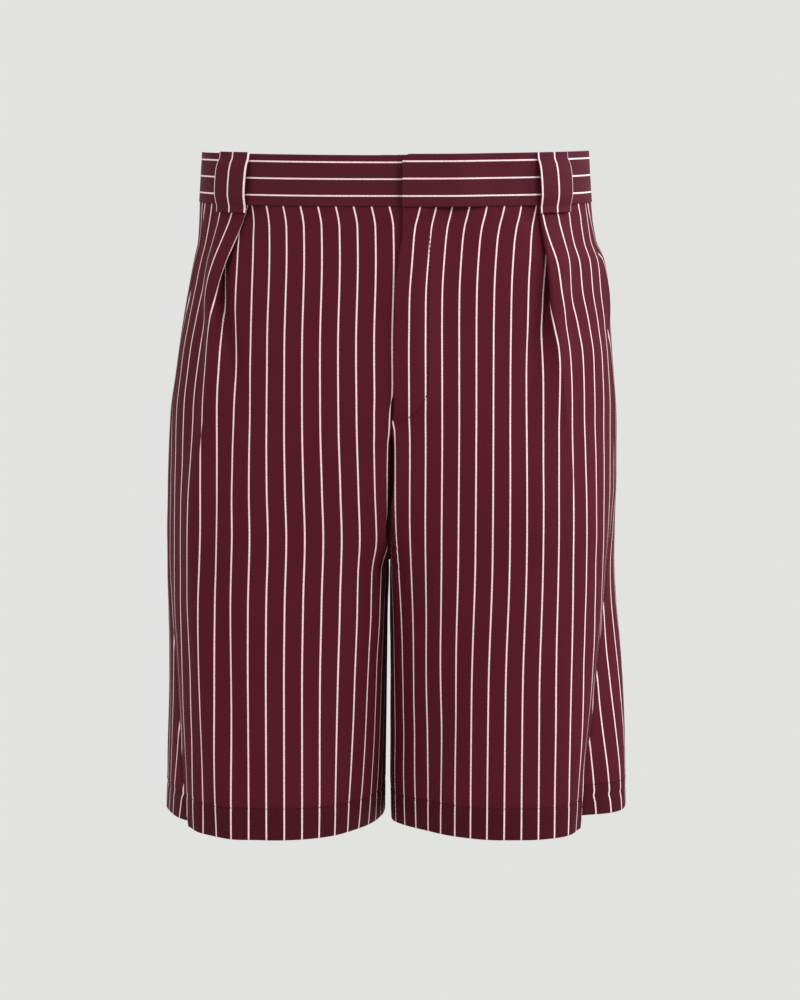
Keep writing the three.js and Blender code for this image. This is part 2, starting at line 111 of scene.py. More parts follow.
# The unevenness of the hung cloth: the rise, distance and seed of each kind of swell, how far from
# a sheet's ends it fades, and how far below the waist it sets in
SWELLS = ((0.8, 48, 3.0), (0.3, 19, 8.0))
SWELL_CLEAR = 26
SWELL_START = (40, 110)

# The puckers under the band and along the hem's stitching
PUCKER_RISE = 0.2
PUCKER_START = -40
HEM_PUCKER = 0.12
HEM_PULL = 0.35
HEM_PULL_WIDTH = 2.2


class Table:
    """Named columns against height, read on a smooth curve that never overshoots its rows."""

    def __init__(self, columns: tuple[str, ...], rows: list[tuple[float, ...]]) -> None:
        """Keeps the rows, from the highest down.

        Args:
            columns: the names of the columns, height first.
            rows: one tuple of values for each height.
        """
        self.heights = [row[0] for row in rows]
        self.values = {name: [row[i] for row in rows] for i, name in enumerate(columns)}

    def at(self, name: str, height: float) -> float:
        """Reads one column at a height.

        Args:
            name: the column.
            height: the height in mm.

        Returns:
            The value there, or the end row's value beyond the table.
        """
        heights = self.heights
        column = self.values[name]
        if height >= heights[0]:
            return column[0]
        if height <= heights[-1]:
            return column[-1]
        k = next(i for i in range(1, len(heights)) if heights[i] <= height) - 1
        span = heights[k + 1] - heights[k]
        t = (height - heights[k]) / span
        start = (1 + 2 * t) * (1 - t) ** 2 * column[k] + t * (1 - t) ** 2 * span * self._slope(column, k)
        end = t * t * (3 - 2 * t) * column[k + 1] + t * t * (t - 1) * span * self._slope(column, k + 1)
        return start + end

    def _slope(self, column: list[float], k: int) -> float:
        """The curve's slope at a row: the harmonic mean of the slopes beside it, or 0 at a turn.

        Args:
            column: the column's values.
            k: the row.

        Returns:
            The slope.
        """

        def rise(i: int) -> float:
            """The slope of the straight line below row i."""
            return (column[i + 1] - column[i]) / (self.heights[i + 1] - self.heights[i])

        last = len(column) - 1
        if k in (0, last):
            return rise(min(k, last - 1))
        before, after = rise(k - 1), rise(k)
        return 0.0 if before * after <= 0 else 2 * before * after / (before + after)


# Horizontal sections: half widths on the wearer's right and left, reach to front and back, roundness
# of each corner (2 is an ellipse), how far each side has parted into a leg, how far its edges have
# gone round inside the thigh, and the side seams' places
SECTIONS = Table(
    (
        "height", "right", "left", "front", "back", "outer", "inner_right", "inner_left", "seat",
        "parting_right", "parting_left", "parted", "centre", "middle", "seam_right", "seam_left",
    ),
    [
        (20.5, 152.3, 151.3, 104.5, 101.5, 3.0, 3.0, 3.0, 2.3, 0, 0, 0, 0, 0, -48, -48),
        (-20.5, 154.6, 153.8, 107, 104, 3.0, 3.0, 3.0, 2.3, 0, 0, 0, 0, 0, -48, -48),
        (-50, 156.2, 158, 109, 107, 3.0, 3.0, 3.0, 2.3, 0, 0, 0, -0.5, 0, -47, -47),
        (-65, 159.2, 164, 110.5, 109, 3.0, 3.0, 3.0, 2.3, 0, 0, 0, -1, 0, -46.5, -46.5),
        (-80, 162, 165.4, 112, 111, 3.0, 3.0, 3.0, 2.3, 0, 0, 0, -1.5, 0, -46, -46),
        (-120, 168.8, 169.5, 115, 115, 2.9, 3.2, 3.2, 2.3, 0, 0, 0, -2.8, 0, -44, -44),
        (-155, 174, 172, 118, 119, 2.8, 3.6, 3.6, 2.3, 0, 0, 0, -3.3, 0, -42, -42),
        (-190, 178.5, 174, 119, 121, 2.7, 4.2, 4.0, 2.3, 0, 0, 0, -3.3, 0, -40, -40),
        (-225, 179.5, 174, 118, 119, 2.6, 4.5, 3.6, 2.3, 0.22, 0.18, 0.22, -3.5, 0, -38, -38),
        (-256, 180.5, 173.8, 116, 116, 2.5, 4.4, 3.0, 2.3, 0.56, 0.43, 0.56, -4, 0, -38, -38),
        (-284, 181, 173.5, 113, 112, 2.45, 4.2, 2.6, 2.3, 0.82, 0.57, 0.82, -4.6, 0, -38, -38),
        (-312, 180.5, 173, 110, 108, 2.4, 4.3, 2.2, 2.2, 1, 0.62, 1, -5.2, 0, -38, -40),
        (-340, 180, 173.5, 108, 106, 2.4, 4.4, 2.0, 2.2, 1, 0.66, 1, -5.5, 1, -38, -44),
        (-370, 179.2, 175, 105, 104, 2.4, 4.0, 1.9, 2.2, 1, 0.7, 1, -5.7, 3, -39, -50),
        (-415, 178.6, 177, 102, 102, 2.4, 3.3, 1.8, 2.2, 1, 0.75, 1, -6, 6, -42, -60),
        (-465, 179, 179, 100, 101, 2.35, 2.7, 1.75, 2.2, 1, 0.8, 1, -6.2, 9, -50, -69),
        (-502, 180, 181.5, 99, 101, 2.3, 2.3, 1.75, 2.2, 1, 0.84, 1, -6.5, 11, -60, -74),
    ],
)

# Where the front edges meet, the space between the legs, the right front's hidden extension at the
# fly, how much of the left front's lap is left, and where the centre back seam lies
CENTRE_LINE = Table(
    ("height", "across", "leg_gap", "underlap", "lap", "behind"),
    [
        (20.5, 4.9, 0, 9, 1, 0),
        (-40, 4.6, 0, 9, 1, 0),
        (-60, 1.5, 0, 9, 1, 0),
        (-90, -2.6, 0, 8, 1, 0),
        (-155, -3.2, 0, 7, 1, 0),
        (-186, -3.3, 0.3, 0, 1, -2),
        (-201, -3.3, 0.25, 0, 0, -3),
        (-225, -3.5, 0, 0, 0, -3.5),
        (-256, -4, 0, 0, 0, -4),
        (-312, -5.2, 0, 0, 0, -5.2),
        (-340, -5.5, 0.8, 0, 0, -5.5),
        (-415, -6, 1.2, 0, 0, -6),
        (-509, -6.5, 2, 0, 0, -6.5),
    ],
)

# How far the front edges have rolled in at the crotch, how far the stripes beside the centre are
# eased out on each side, and how much of that the left edge itself holds back
CENTRE_EASE = Table(
    ("height", "groove", "right", "left", "held"),
    [
        (-20, 0, 0, 9.5, 1),
        (-60, 0, 0, 9, 1),
        (-107, 0, 0, 5.5, 1),
        (-152, 0, 0, 3.2, 1),
        (-180, 0, 0.8, 3.6, 1),
        (-189, 0, 2.6, 3.8, 0.9),
        (-206, 0, 4.2, 5, 0),
        (-216, 12, 6.6, 5.6, 0),
        (-242, 12, 8.5, 6, 0),
        (-272, 12, 6, 6, 0),
        (-298, 0, 0, 6.4, 0),
        (-332, 0, 0, 8, 0),
        (-378, 0, 0, 11, 0),
        (-423, 0, 0, 10, 0),
        (-468, 0, 0, 5.5, 0),
        (-509, 0, 0, 4, 0),
    ],
)

# Each pleat: its folded edge, its overlap (less than 0 once open), how high the edge stands, the radii
# of the hidden fold and of the folded edge, and how deep the hidden fold has sunk
PLEAT_COLUMNS = ("height", "edge", "overlap", "rise", "hollow", "roll", "depth")
RIGHT_PLEAT = Table(
    PLEAT_COLUMNS,
    [
        (-20.5, 113.4, 18.9, 3.4, 0.35, 1.5, 0),
        (-52.8, 122.6, 11.1, 4.6, 0.6, 1.7, 1),
        (-67, 127.2, 8, 5.8, 0.9, 2, 2.5),
        (-87, 131.4, 3.6, 6.8, 1.3, 2.4, 4.5),
        (-100, 132.4, 1, 7, 1.8, 3, 5.2),
        (-118, 131, -1, 6.6, 2.6, 3.4, 4.6),
        (-143, 130.6, -4, 5.4, 4.5, 5, 3),
        (-175, 132.4, -10, 3.8, 8, 8, 1.4),
        (-218, 134.5, -18, 2, 12, 12, 0.4),
        (-256, 136.5, -22, 0.8, 13, 13, 0),
        (-310, 138, -25, 0, 14, 14, 0),
    ],
)
LEFT_PLEAT = Table(
    PLEAT_COLUMNS,
    [
        (-20.5, 108.8, 19, 3.4, 0.35, 1.5, 0),
        (-52.8, 112.8, 10.9, 4.6, 0.6, 1.7, 1),
        (-67, 114.8, 8, 5.4, 0.8, 1.9, 2),
        (-95, 117.4, 4, 6.4, 1.3, 2.4, 4),
        (-120, 119.5, -1.2, 6.2, 2.4, 3.2, 4.2),
        (-140, 121, -6, 5.4, 4, 4.5, 3),
        (-177, 124, -14, 3.8, 8, 8, 1.2),
        (-218, 127, -20, 2, 11, 11, 0.3),
        (-256, 130, -22, 0.8, 12, 12, 0),
        (-310, 133, -25, 0, 12, 12, 0),
    ],
)

# The grain line, the seventh stripe from the centre of each front: its place, and how much closer
# or wider than the cloth's own measure the stripes lie there
RIGHT_GRAIN = Table(
    ("height", "across", "scale"),
    [
        (-20, 85.6, 1), (-28, 83.9, 1), (-36, 83, 1), (-60, 82.7, 1), (-130, 84, 1), (-200, 84.2, 0.985),
        (-250, 83.5, 0.975), (-285, 82.6, 0.975), (-335, 84, 0.975), (-400, 84.8, 0.99), (-509, 84.7, 1),
    ],
)
LEFT_GRAIN = Table(
    ("height", "across", "scale"),
    [
        (-20, 82.3, 0.985), (-28, 80.4, 0.985), (-36, 78.3, 0.99), (-50, 76.4, 1), (-90, 74.3, 1.01),
        (-170, 73.6, 1.035), (-300, 73, 1.035), (-400, 70, 1.035), (-509, 69, 1.035),
    ],
)


@dataclass(frozen=True)
class Crease:
    """A soft fold from one place to another, each a distance ahead of the side seam and a height.

    A place behind the side seam has a distance below 0. rise is how far the cloth stands out, below
    0 for a hollow, and width the distance over which it fades to each side.
    """

    upper: tuple[float, float]
    lower: tuple[float, float]
    rise: float
    width: float

    def relief(self, ahead: np.ndarray, height: float) -> np.ndarray:
        """How far the crease moves the cloth out.

        Args:
            ahead: distances ahead of the side seam.
            height: the height of the row.

        Returns:
            The rise at each place.
        """
        run = self.lower[0] - self.upper[0]
        fall = self.lower[1] - self.upper[1]
        length = math.hypot(run, fall)
        share = ((ahead - self.upper[0]) * run + (height - self.upper[1]) * fall) / length**2
        beside = ((ahead - self.upper[0]) * fall - (height - self.upper[1]) * run) / length
        swell = np.sin(np.pi * np.clip(share, 0, 1))
        return self.rise * swell * np.exp(-((beside / self.width) ** 2))


@dataclass(frozen=True)
class Side:
    """One side of the shorts, the wearer's right or left."""

    name: str
    sign: int
    pleat: Table
    grain: Table
    back_lift: float
    side_thread: float
    creases: tuple[Crease, ...]


RIGHT = Side(
    "right",
    -1,
    RIGHT_PLEAT,
    RIGHT_GRAIN,
    4,
    178,
    (
        Crease((6, -300), (2, -620), -4, 13),
        Crease((58, -60), (52, -620), 3, 12),
        Crease((80, -90), (72, -560), -2, 9),
        Crease((-45, -340), (-60, -620), 3, 20),
        Crease((-110, -230), (-140, -520), -4, 22),
        Crease((150, -260), (160, -560), -2, 16),
    ),
)
LEFT = Side(
    "left",
    1,
    LEFT_PLEAT,
    LEFT_GRAIN,
    9.5,
    160,
    (
        Crease((3, -250), (-2, -760), -12, 17),
        Crease((-32, -300), (-36, -760), 4, 16),
        Crease((56, -90), (50, -620), 1.6, 12),
        Crease((212, -16), (212, -130), -1.5, 5),
        Crease((-5, -60), (-5, -120), 3, 14),
        Crease((-50, -340), (-58, -560), 3, 20),
        Crease((-120, -220), (-150, -520), -4, 24),
        Crease((140, -330), (146, -560), -2.5, 15),
    ),
)
SIDES = (RIGHT, LEFT)


def smooth(value: np.ndarray | float, low: float, high: float) -> np.ndarray | float:
    """A smooth step, 0 at or below low and 1 at or above high."""
    t = np.clip((value - low) / (high - low), 0, 1)
    return t * t * (3 - 2 * t)


def tilted(height: float, y: np.ndarray | float) -> np.ndarray | float:
    """The height on the tilted waist or hem of a place with that y."""
    waist = smooth(height, WAIST_TILT_END, PANEL_TOP)
    hem = 1 - smooth(height, HEM_HEIGHT, HEM_TILT_START)
    return height + waist * (WAIST_TILT * y - WAIST_SAG * y * y) + hem * (HEM_TILT * y - HEM_SAG * y * y)


class Outline:
    """The plain outline of one side at a height, from the centre front or inseam to the back."""

    def __init__(self, side: Side, height: float, underlap: float = 0.0) -> None:
        """Lays out the curve's points and its lengths.

        Args:
            side: the side of the shorts.
            height: the height in mm.
            underlap: how far the front runs on past the centre edge.
        """
        self.side = side
        self.height = height
        self.centre = SECTIONS.at("centre", height)
        gap = SEAM_GAP / 2 + CENTRE_LINE.at("leg_gap", height)
        edge = side.sign * (CENTRE_LINE.at("across", height) - self.centre) + gap
        behind = side.sign * (CENTRE_LINE.at("behind", height) - self.centre) + gap
        parting = SECTIONS.at(f"parting_{side.name}", height)
        parted = SECTIONS.at("parted", height)
        half = (SECTIONS.at(side.name, height) - side.sign * self.centre - edge) / (1 + parting)
        middle_x = edge + parting * half
        middle_y = SECTIONS.at("middle", height)
        inner = SECTIONS.at(f"inner_{side.name}", height)
        outer = SECTIONS.at("outer", height)
        seat = SECTIONS.at("seat", height)
        start = min(1.0, (middle_x - edge + underlap) / half + parted - parting)
        end = min(1.0, (middle_x - behind) / half + parted - parting)
        start_angle = math.atan2(-((1 - abs(start) ** inner) ** (1 / inner)), -start)
        end_angle = math.atan2((1 - abs(end) ** seat) ** (1 / seat), -end)
        if start >= 1:
            start_angle = -math.pi
        angle = np.linspace(start_angle, end_angle, OUTLINE_POINTS)
        power = np.where(angle < -np.pi / 2, inner, np.where(angle < 0, outer, seat))
        front, back = SECTIONS.at("front", height), SECTIONS.at("back", height)
        depth = np.where(angle < 0, front + middle_y, back - middle_y)
        radius = (np.abs(np.cos(angle)) ** power + np.abs(np.sin(angle)) ** power) ** (-1 / power)
        inward = middle_x + half * np.cos(angle) * radius - edge
        corner = THIGH_CORNER * max(0.0, parted - parting)
        pressed = (inward + np.sqrt(inward**2 + corner**2)) / 2
        self.x = edge + (pressed if corner > 0 else inward)
        self.y = middle_y + depth * np.sin(angle) * radius
        steps = np.hypot(np.diff(self.x), np.diff(self.y))
        self.lengths = np.concatenate([[0.0], np.cumsum(steps)])
        self.total = float(self.lengths[-1])
        slope_x = np.gradient(self.x, self.lengths)
        slope_y = np.gradient(self.y, self.lengths)
        size = np.hypot(slope_x, slope_y)
        self.out_x = slope_y / size
        self.out_y = -slope_x / size
        self.turn = int(np.argmax(self.x))
        ahead = (angle > -np.pi / 2) & (angle < np.pi / 2)
        seam_y = SECTIONS.at(f"seam_{side.name}", height)
        self.seam = float(np.interp(seam_y, self.y[ahead], self.lengths[ahead]))

    def across(self, x: float) -> float:
        """The distance along to a place x out from the centre, on the front."""
        return float(np.interp(x, self.x[: self.turn], self.lengths[: self.turn]))

    def behind(self, x: float) -> float:
        """The distance along to a place x out from the centre, on the back."""
        return float(np.interp(-x, -self.x[self.turn :], self.lengths[self.turn :]))

    def points(self, along: np.ndarray, off: np.ndarray | float) -> np.ndarray:
        """Places at distances along the outline and off it.

        Args:
            along: the distances along.
            off: how far out of the surface.

        Returns:
            One row of x, y and z in mm for each place.
        """
        beyond = along - np.clip(along, 0, self.total)
        out_x = np.interp(along, self.lengths, self.out_x)
        out_y = np.interp(along, self.lengths, self.out_y)
        x = np.interp(along, self.lengths, self.x) + out_x * off - out_y * beyond
        y = np.interp(along, self.lengths, self.y) + out_y * off + out_x * beyond
        return np.stack([self.centre + self.side.sign * x, y, tilted(self.height, y)], axis=-1)


@lru_cache(maxsize=None)
def outline_at(side: Side, height: float, underlap: float = 0.0) -> Outline:
    """The outline of a side at a height, kept for the next piece that asks for it."""
    return Outline(side, height, underlap)


def ripple(side: Side, ahead: np.ndarray, height: float, size: float, seed: float) -> np.ndarray:
    """Smooth unevenness of hung cloth.

    Args:
        side: the side of the shorts.
        ahead: distances ahead of the side seam.
        height: the height of the row.
        size: the usual distance between swells.
        seed: a number that makes one pattern differ from another.

    Returns:
        A value from about -1 to 1 at each place.
    """
    return np.array([noise.noise(Vector((s / size, height / size / 1.6, seed + side.sign))) for s in ahead])


def relief_at(side: Side, outline: Outline, along: np.ndarray) -> np.ndarray:
    """How far folds, swells, puckers and seams move the cloth out of its plain surface.

    Args:
        side: the side of the shorts.
        outline: the outline of the row.
        along: distances along it.

    Returns:
        The rise at each place.
    """
    height = outline.height
    ahead = outline.seam - along
    relief = np.zeros_like(along)
    for crease in side.creases:
        relief = relief + crease.relief(ahead, height)
    ends = smooth(along, 0, SWELL_CLEAR) * smooth(outline.total - along, 0, SWELL_CLEAR)
    swells = sum(rise * ripple(side, ahead, height, size, seed) for rise, size, seed in SWELLS)
    relief = relief + ends * smooth(-height, *SWELL_START) * swells
    gathered = PUCKER_RISE * smooth(height, PUCKER_START, PANEL_TOP)
    pucker = gathered * np.sin(ahead * 0.72 + 1.6 * np.sin(ahead * 0.11))
    stitched = np.exp(-(((height - HEM_HEIGHT - HEM_DEPTH) / HEM_PULL_WIDTH) ** 2))
    pulled = stitched * (HEM_PUCKER * np.sin(ahead * 1.1 + np.sin(ahead * 0.2)) - HEM_PULL)
    return relief + pucker + pulled


def press_at(height: float, from_edge: np.ndarray) -> np.ndarray:
    """How far the band presses the folded pleat in, just under it."""
    beside = smooth(from_edge, *PRESS_BEFORE) * (1 - smooth(from_edge, *PRESS_AFTER))
    return PRESS_DEPTH * smooth(height, *PRESS_HEIGHTS) * beside


def lap_at(side: Side, height: float, along: np.ndarray) -> np.ndarray:
    """The lift of the left front over the right one beside the fly, rolled down at its edge."""
    if side.sign < 0:
        return np.zeros_like(along)
    lift = LAP_HEIGHT * CENTRE_LINE.at("lap", height)
    roll = min(LAP_ROLL, lift)
    short = np.clip(roll - (along - along[0]), 0, roll)
    rolled = roll - np.sqrt(np.maximum(roll**2 - short**2, 0))
    return lift * (1 - smooth(along, *LAP_REACH)) - rolled


def dip_at(distance: np.ndarray) -> np.ndarray:
    """How much of a seam's dip is left at a distance from it, from 1 down to 0."""
    return np.exp(-((distance / SEAM_DIP_WIDTH) ** 2))


def run(start: float, end: float, count: int, head: float = 1.0, tail: float = 1.0) -> np.ndarray:
    """Places from start up to, but without, the end.

    Args:
        start: the first place.
        end: the place after the last.
        count: how many places.
        head: above 1 crowds them at the start.
        tail: above 1 crowds them at the end.

    Returns:
        The places.
    """
    t = np.arange(count) / count
    t = t**head if head != 1 else 1 - (1 - t) ** tail
    return start + (end - start) * t


def grid_sheet(name: str, points: np.ndarray, uv: np.ndarray, flip: bool) -> bpy.types.Object:
    """Lays a grid over rows of points, the first row at the top.

    Args:
        name: the piece's name.
        points: rows by columns by x, y and z, in mm.
        uv: rows by columns by u and v, in metres.
        flip: true where the columns run from the wearer's centre to the right.

    Returns:
        The new piece, with its faces outward.
    """
    if flip:
        points, uv = points[:, ::-1], uv[:, ::-1]
    rows, columns = points.shape[:2]
    bpy.ops.object.select_all(action="DESELECT")
    bpy.ops.mesh.primitive_grid_add(x_subdivisions=columns - 1, y_subdivisions=rows - 1, size=2)
    piece = bpy.context.object
    piece.name = name
    piece.data.name = name
    mesh = piece.data
    flat = np.empty(len(mesh.vertices) * 3)
    mesh.vertices.foreach_get("co", flat)
    flat = flat.reshape(-1, 3)
    column = np.rint((flat[:, 0] + 1) / 2 * (columns - 1)).astype(int)
    row = np.rint((1 - flat[:, 1]) / 2 * (rows - 1)).astype(int)
    mesh.vertices.foreach_set("co", (points[row, column] * MM).ravel())
    corners = np.empty(len(mesh.loops), dtype=np.int64)
    mesh.loops.foreach_get("vertex_index", corners)
    mesh.uv_layers[0].name = "cloth measure"
    mesh.uv_layers[0].data.foreach_set("uv", uv[row[corners], column[corners]].ravel())
    mesh.update()
    return piece


def apply_modifier(piece: bpy.types.Object, kind: str, **settings: object) -> None:
    """Adds a modifier with its settings and applies it.

    Args:
        piece: the piece it shapes.
        kind: the modifier's type.
        settings: its settings, by name.
    """
    bpy.ops.object.select_all(action="DESELECT")
    bpy.context.view_layer.objects.active = piece
    piece.select_set(True)
    modifier = piece.modifiers.new(kind.title(), kind)
    for name, value in settings.items():
        setattr(modifier, name, value)
    bpy.ops.object.modifier_apply(modifier=modifier.name)
    piece.select_set(False)


def thicken(piece: bpy.types.Object, wall: float, bevel: float = 0.0) -> None:
    """Gives a sheet its wall, inward, and rounds its cut edges.

    Args:
        piece: the sheet.
        wall: its thickness in mm.
        bevel: how far its edges are rounded, in mm, or 0.
    """
    apply_modifier(piece, "SOLIDIFY", thickness=wall * MM, offset=-1, use_even_offset=bevel > 0)
    if bevel > 0:
        apply_modifier(
            piece, "BEVEL", width=bevel * MM, segments=3, limit_method="ANGLE", angle_limit=math.radians(50)
        )
    for polygon in piece.data.polygons:
        polygon.use_smooth = True


class Slot(Enum):
    """The material slots."""

    CLOTH = "cloth"
    BAND = "band_cloth"
    LOOP = "loop_cloth"
    POCKET = "pocket_cloth"


def finish_piece(piece: bpy.types.Object, slot: Slot, material: bpy.types.Material, *nodes: str) -> None:
    """Gives a piece its material and body, hides the CAD nodes that it stands for, and reports it.

    Args:
        piece: the finished piece.
        slot: its material slot; not used.
        material: its finish.
        nodes: the CAD nodes that it replaces.
    """
    piece.data.materials.clear()
    piece.data.materials.append(material)
    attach(piece, "root")
    if nodes:
        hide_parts(*nodes)
    log.info("%s: %d faces", piece.name, len(piece.data.polygons))


def linear(hex_colour: str) -> tuple[float, float, float, float]:
    """A linear colour from an sRGB hex one."""
    channels = [int(hex_colour[i : i + 2], 16) / 255 for i in (1, 3, 5)]
    return (*[c / 12.92 if c <= 0.04045 else ((c + 0.055) / 1.055) ** 2.4 for c in channels], 1.0)


def add_node(
    tree: bpy.types.NodeTree, kind: str, settings: dict | None = None, inputs: dict | None = None
) -> bpy.types.Node:
    """Adds a node with its settings, values and links.

    Args:
        tree: the node tree.
        kind: the node's type name.
        settings: its own properties, by name.
        inputs: for each input socket, by name or number, a value or the output socket that feeds it.

    Returns:
        The node.
    """
    node = tree.nodes.new(kind)
    for name, value in (settings or {}).items():
        setattr(node, name, value)
    for name, value in (inputs or {}).items():
        if isinstance(value, bpy.types.NodeSocket):
            tree.links.new(value, node.inputs[name])
        else:
            node.inputs[name].default_value = value
    return node


class Threads(Enum):
    """Which way the stripes of a piece are counted in its own measure."""

    ACROSS = "X"
    DOWN = "Y"
    NONE = ""


@dataclass(frozen=True)
class ClothFinish:
    """Woven crepe suiting: matt, with a faint sheen at glancing angles and a pebbled surface.

    ground and ground_light are the yarn's two shades, stripe the white warp threads'. The pebble is
    drawn 1.4 mm wide, about twice the real yarn, because the yarn is too fine to show. cloud is the
    distance in mm between its faint cloudy shades. The last field is how far down the cloth is turned
    up double at the hem, or 0: below it the colour is darkened with painted shade, for the less light
    that shines through two layers.
    """

    name: str
    ground: str
    ground_light: str
    stripe: str
    threads: Threads
    roughness: float = 0.72
    sheen: float = 0.04
    pebble: float = 1.4
    relief: float = 0.16
    cloud: float = 60.0
    hem_shade_from: float = 0.0

    def material(self) -> bpy.types.Material:
        """Builds the finish.

        Returns:
            The material, in the piece's own measure.
        """
        material = bpy.data.materials.new(self.name)
        material.use_nodes = True
        tree = material.node_tree
        tree.nodes.clear()
        measure = add_node(tree, "ShaderNodeUVMap", {"uv_map": "cloth measure"})
        in_mm = add_node(
            tree, "ShaderNodeVectorMath", {"operation": "SCALE"}, {0: measure.outputs[0], "Scale": 1000.0}
        )
        pebbles, cloudy = (
            add_node(
                tree,
                "ShaderNodeTexNoise",
                {},
                {"Vector": in_mm.outputs[0], "Scale": 1 / size, "Detail": detail},
            )
            for size, detail in ((self.pebble, 2.0), (self.cloud, 3.0))
        )
        shade = add_node(
            tree,
            "ShaderNodeMath",
            {"operation": "MULTIPLY_ADD"},
            {0: cloudy.outputs["Fac"], 1: 0.5, 2: -0.25},
        )
        mixed = add_node(
            tree,
            "ShaderNodeMath",
            {"operation": "ADD", "use_clamp": True},
            {0: pebbles.outputs["Fac"], 1: shade.outputs[0]},
        )
        colour = add_node(
            tree,
            "ShaderNodeMix",
            {"data_type": "RGBA"},
            {"Factor": mixed.outputs[0], 6: linear(self.ground), 7: linear(self.ground_light)},
        ).outputs[2]
        height = pebbles.outputs["Fac"]
        # Painted shade: below the turned-up hem the colour is multiplied darker, for the less light that
        # shines through the doubled cloth
        if self.hem_shade_from:
            down = add_node(tree, "ShaderNodeSeparateXYZ", {}, {0: in_mm.outputs[0]})
            doubled = add_node(
                tree,
                "ShaderNodeMapRange",
                {},
                {
                    "Value": down.outputs["Y"],
                    "From Min": -self.hem_shade_from - 0.6,
                    "From Max": -self.hem_shade_from + 0.6,
                    "To Min": 0.5,
                    "To Max": 0.0,
                },
            )
            colour = add_node(
                tree,
                "ShaderNodeMix",
                {"data_type": "RGBA", "blend_type": "MULTIPLY"},
                {"Factor": doubled.outputs[0], 6: colour, 7: linear("#bdb2b4")},
            ).outputs[2]
        if self.threads is not Threads.NONE:
            split = add_node(tree, "ShaderNodeSeparateXYZ", {}, {0: in_mm.outputs[0]})
            beside = add_node(
                tree,
                "ShaderNodeMath",
                {"operation": "PINGPONG"},
                {0: split.outputs[self.threads.value], 1: STRIPE_PITCH / 2},
            )
            on_stripe = add_node(
                tree,
                "ShaderNodeMapRange",
                {"interpolation_type": "SMOOTHSTEP"},
                {
                    "Value": beside.outputs[0],
                    "From Min": STRIPE_WIDTH / 2 - 0.1,
                    "From Max": STRIPE_WIDTH / 2 + 0.2,
                    "To Min": 1.0,
                    "To Max": 0.0,
                },
            )
            worn = add_node(
                tree,
                "ShaderNodeMapRange",
                {},
                {
                    "Value": pebbles.outputs["Fac"],
                    "From Min": 0.3,
                    "From Max": 0.62,
                    "To Min": 0.72,
                    "To Max": 1.0,
                },
            )
            strength = add_node(
                tree,
                "ShaderNodeMath",
                {"operation": "MULTIPLY"},
                {0: on_stripe.outputs[0], 1: worn.outputs[0]},
            )
            colour = add_node(
                tree,
                "ShaderNodeMix",
                {"data_type": "RGBA"},
                {"Factor": strength.outputs[0], 6: colour, 7: linear(self.stripe)},
            ).outputs[2]
            height = add_node(
                tree, "ShaderNodeMath", {"operation": "ADD"}, {0: height, 1: on_stripe.outputs[0]}
            ).outputs[0]
        bump = add_node(
            tree, "ShaderNodeBump", {}, {"Strength": 0.45, "Distance": self.relief * MM, "Height": height}
        )
        shader = add_node(
            tree,
            "ShaderNodeBsdfPrincipled",
            {},
            {
                "Base Color": colour,
                "Roughness": self.roughness,
                "Sheen Weight": self.sheen,
                "Sheen Roughness": 0.45,
                "Sheen Tint": linear("#c98a99"),
                "Specular IOR Level": 0.08,
                "Normal": bump.outputs[0],
            },
        )
        add_node(tree, "ShaderNodeOutputMaterial", {}, {"Surface": shader.outputs[0]})
        return material


# Crepe with a pinstripe woven into its warp: matt and dark red, with painted shade where the hem is doubled
# and lets less light through
SUITING = ClothFinish(
    "burgundy pinstripe crepe", "#470f1c", "#531424", "#f2d9df", Threads.ACROSS, hem_shade_from=HEM_LINE
)
# The same crepe with its stripes along the band, stiffened behind, so a little greyer
BAND_SUITING = ClothFinish(
    "burgundy pinstripe crepe, stripes along the band", "#451320", "#4f1727", "#f2d9df", Threads.DOWN
)
# The same crepe folded double and pressed, its stripes up the loop
LOOP_SUITING = ClothFinish(
    "burgundy pinstripe crepe, doubled", "#471320", "#511827", "#f2d9df", Threads.ACROSS
)
# The crepe of the hidden strips, where no stripe falls
FACING = ClothFinish("plain burgundy crepe facing", "#451220", "#4f1626", "#4f1626", Threads.NONE)
# Closely woven cotton twill for the pocket bags: darker and duller than the crepe
POCKETING = ClothFinish(
    "plain twill pocketing", "#3a111b", "#421621", "#421621", Threads.NONE, roughness=0.8, sheen=0.1
)
# Twisted polyester thread: smoother than the cloth; its dark red is made darker than the cloth with painted
# shade of the stitch line pressed into the cloth, so the stitches show faintly
THREAD = ClothFinish(
    "spun polyester sewing thread",
    "#2c0c15",
    "#38111c",
    "#38111c",
    Threads.NONE,
    roughness=0.6,
    sheen=0.1,
    pebble=0.4,
    relief=0.05,
)


